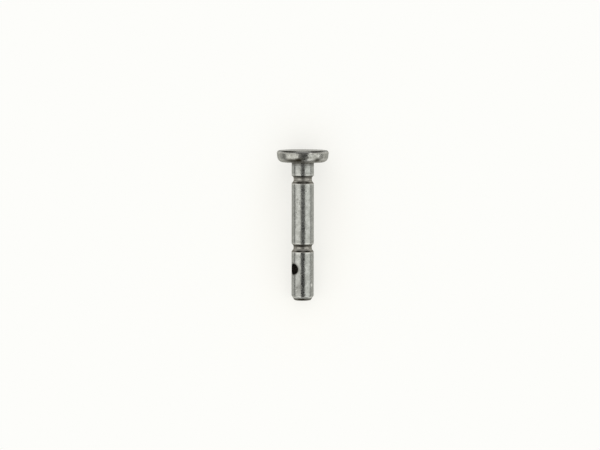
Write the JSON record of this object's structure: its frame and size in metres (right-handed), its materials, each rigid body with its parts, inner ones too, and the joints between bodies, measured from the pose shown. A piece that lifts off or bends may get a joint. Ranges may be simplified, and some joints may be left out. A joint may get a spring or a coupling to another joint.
{
  "type": "shear pin",
  "caption": "Headed steel shear pin: flat disc head, round shank with turned break grooves, a cross hole for a retaining clip near the far end, and a bevelled tip.",
  "frame": {"origin": "centre of the head's outer flat face, which the pin stands on", "axes": "+Z along the shank from the head to the bevelled tip; the cross hole runs along X"},
  "size_m": [0.0144, 0.0144, 0.0415],
  "materials": {
    "bright_steel": "dull bright drawn steel, turned grooves, tumbled edges"
  },
  "bodies": {
    "root": {"shear_pin": "bright_steel"}
  },
  "joints": []
}
